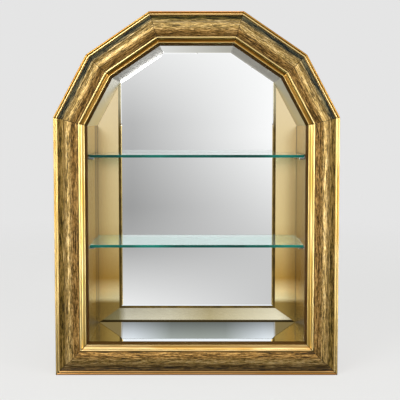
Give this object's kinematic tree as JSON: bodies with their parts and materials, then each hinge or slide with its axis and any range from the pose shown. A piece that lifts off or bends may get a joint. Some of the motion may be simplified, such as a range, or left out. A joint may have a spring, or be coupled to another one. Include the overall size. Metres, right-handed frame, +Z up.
{
  "type": "mirrored wall cabinet",
  "caption": "Wall cabinet with a faceted-arch gilt moulding round a mirror-lined box, open at the front, with glass shelves on pins and D-ring hangers behind.",
  "frame": {"origin": "on the back panel's rear face, on the centre line, midway between the two hanging rings", "axes": "+X to the right seen from the front, +Y into the wall, +Z up"},
  "size_m": [0.6102, 0.1765, 0.7809],
  "materials": {
    "gilt_moulding": "antiqued brown-gold painted wood with gilt beads and a hollow gilt lip",
    "case_wood": "bare sanded pine",
    "gold_mirror": "gold-tinted mirror glass",
    "silver_mirror": "silvered mirror glass",
    "bronze_strip": "dark bronze strip",
    "hardboard": "brown hardboard",
    "shelf_glass": "clear float glass with a green edge",
    "pin_chrome": "plated shelf pins",
    "hanger_steel": "zinc-plated steel",
    "screw_steel": "zinc-plated steel screws",
    "bumper_rubber": "black rubber"
  },
  "bodies": {
    "cabinet": {"frame_left_stile": "gilt_moulding", "case_board_left_stile": "case_wood", "lining_left_stile": "gold_mirror", "frame_left_lower_facet": "gilt_moulding", "case_board_left_lower_facet": "case_wood", "lining_left_lower_facet": "gold_mirror", "frame_left_upper_facet": "gilt_moulding", "case_board_left_upper_facet": "case_wood", "lining_left_upper_facet": "silver_mirror", "frame_top_rail": "gilt_moulding", "case_board_top_rail": "case_wood", "lining_top_rail": "silver_mirror", "frame_right_upper_facet": "gilt_moulding", "case_board_right_upper_facet": "case_wood", "lining_right_upper_facet": "silver_mirror", "frame_right_lower_facet": "gilt_moulding", "case_board_right_lower_facet": "case_wood", "lining_right_lower_facet": "gold_mirror", "frame_right_stile": "gilt_moulding", "case_board_right_stile": "case_wood", "lining_right_stile": "gold_mirror", "frame_bottom_rail": "gilt_moulding", "case_board_bottom_rail": "case_wood", "floor_mirror": "silver_mirror", "back_mirror": "silver_mirror", "back_border_left": "gold_mirror", "back_border_right": "gold_mirror", "back_border_bottom": "gold_mirror", "joint_strip_left": "bronze_strip", "joint_strip_right": "bronze_strip", "joint_strip_bottom": "bronze_strip", "back_panel": "hardboard", "upper_shelf_pins": "pin_chrome", "lower_shelf_pins": "pin_chrome", "left_hanger_strap": "hanger_steel", "right_hanger_strap": "hanger_steel", "hanger_screws": "screw_steel", "back_panel_screws": "screw_steel", "wall_bumpers": "bumper_rubber", "glue_blocks": "case_wood"},
    "upper_shelf": {"upper_shelf": "shelf_glass"},
    "lower_shelf": {"lower_shelf": "shelf_glass"},
    "left_ring": {"left_hanger_ring": "hanger_steel"},
    "right_ring": {"right_hanger_ring": "hanger_steel"}
  },
  "joints": [
    {"name": "upper_shelf_slide", "type": "slide", "parent": "cabinet", "child": "upper_shelf", "axis": [0, -1, 0], "range_m": [0, 0.17]},
    {"name": "lower_shelf_slide", "type": "slide", "parent": "cabinet", "child": "lower_shelf", "axis": [0, -1, 0], "range_m": [0, 0.17]},
    {"name": "left_ring_swing", "type": "hinge", "parent": "cabinet", "child": "left_ring", "pos_m": [-0.24364, 0.003, 0], "axis": [1, 0, 0], "range_deg": [0, 180]},
    {"name": "right_ring_swing", "type": "hinge", "parent": "cabinet", "child": "right_ring", "pos_m": [0.24364, 0.003, 0], "axis": [1, 0, 0], "range_deg": [0, 180]}
  ]
}
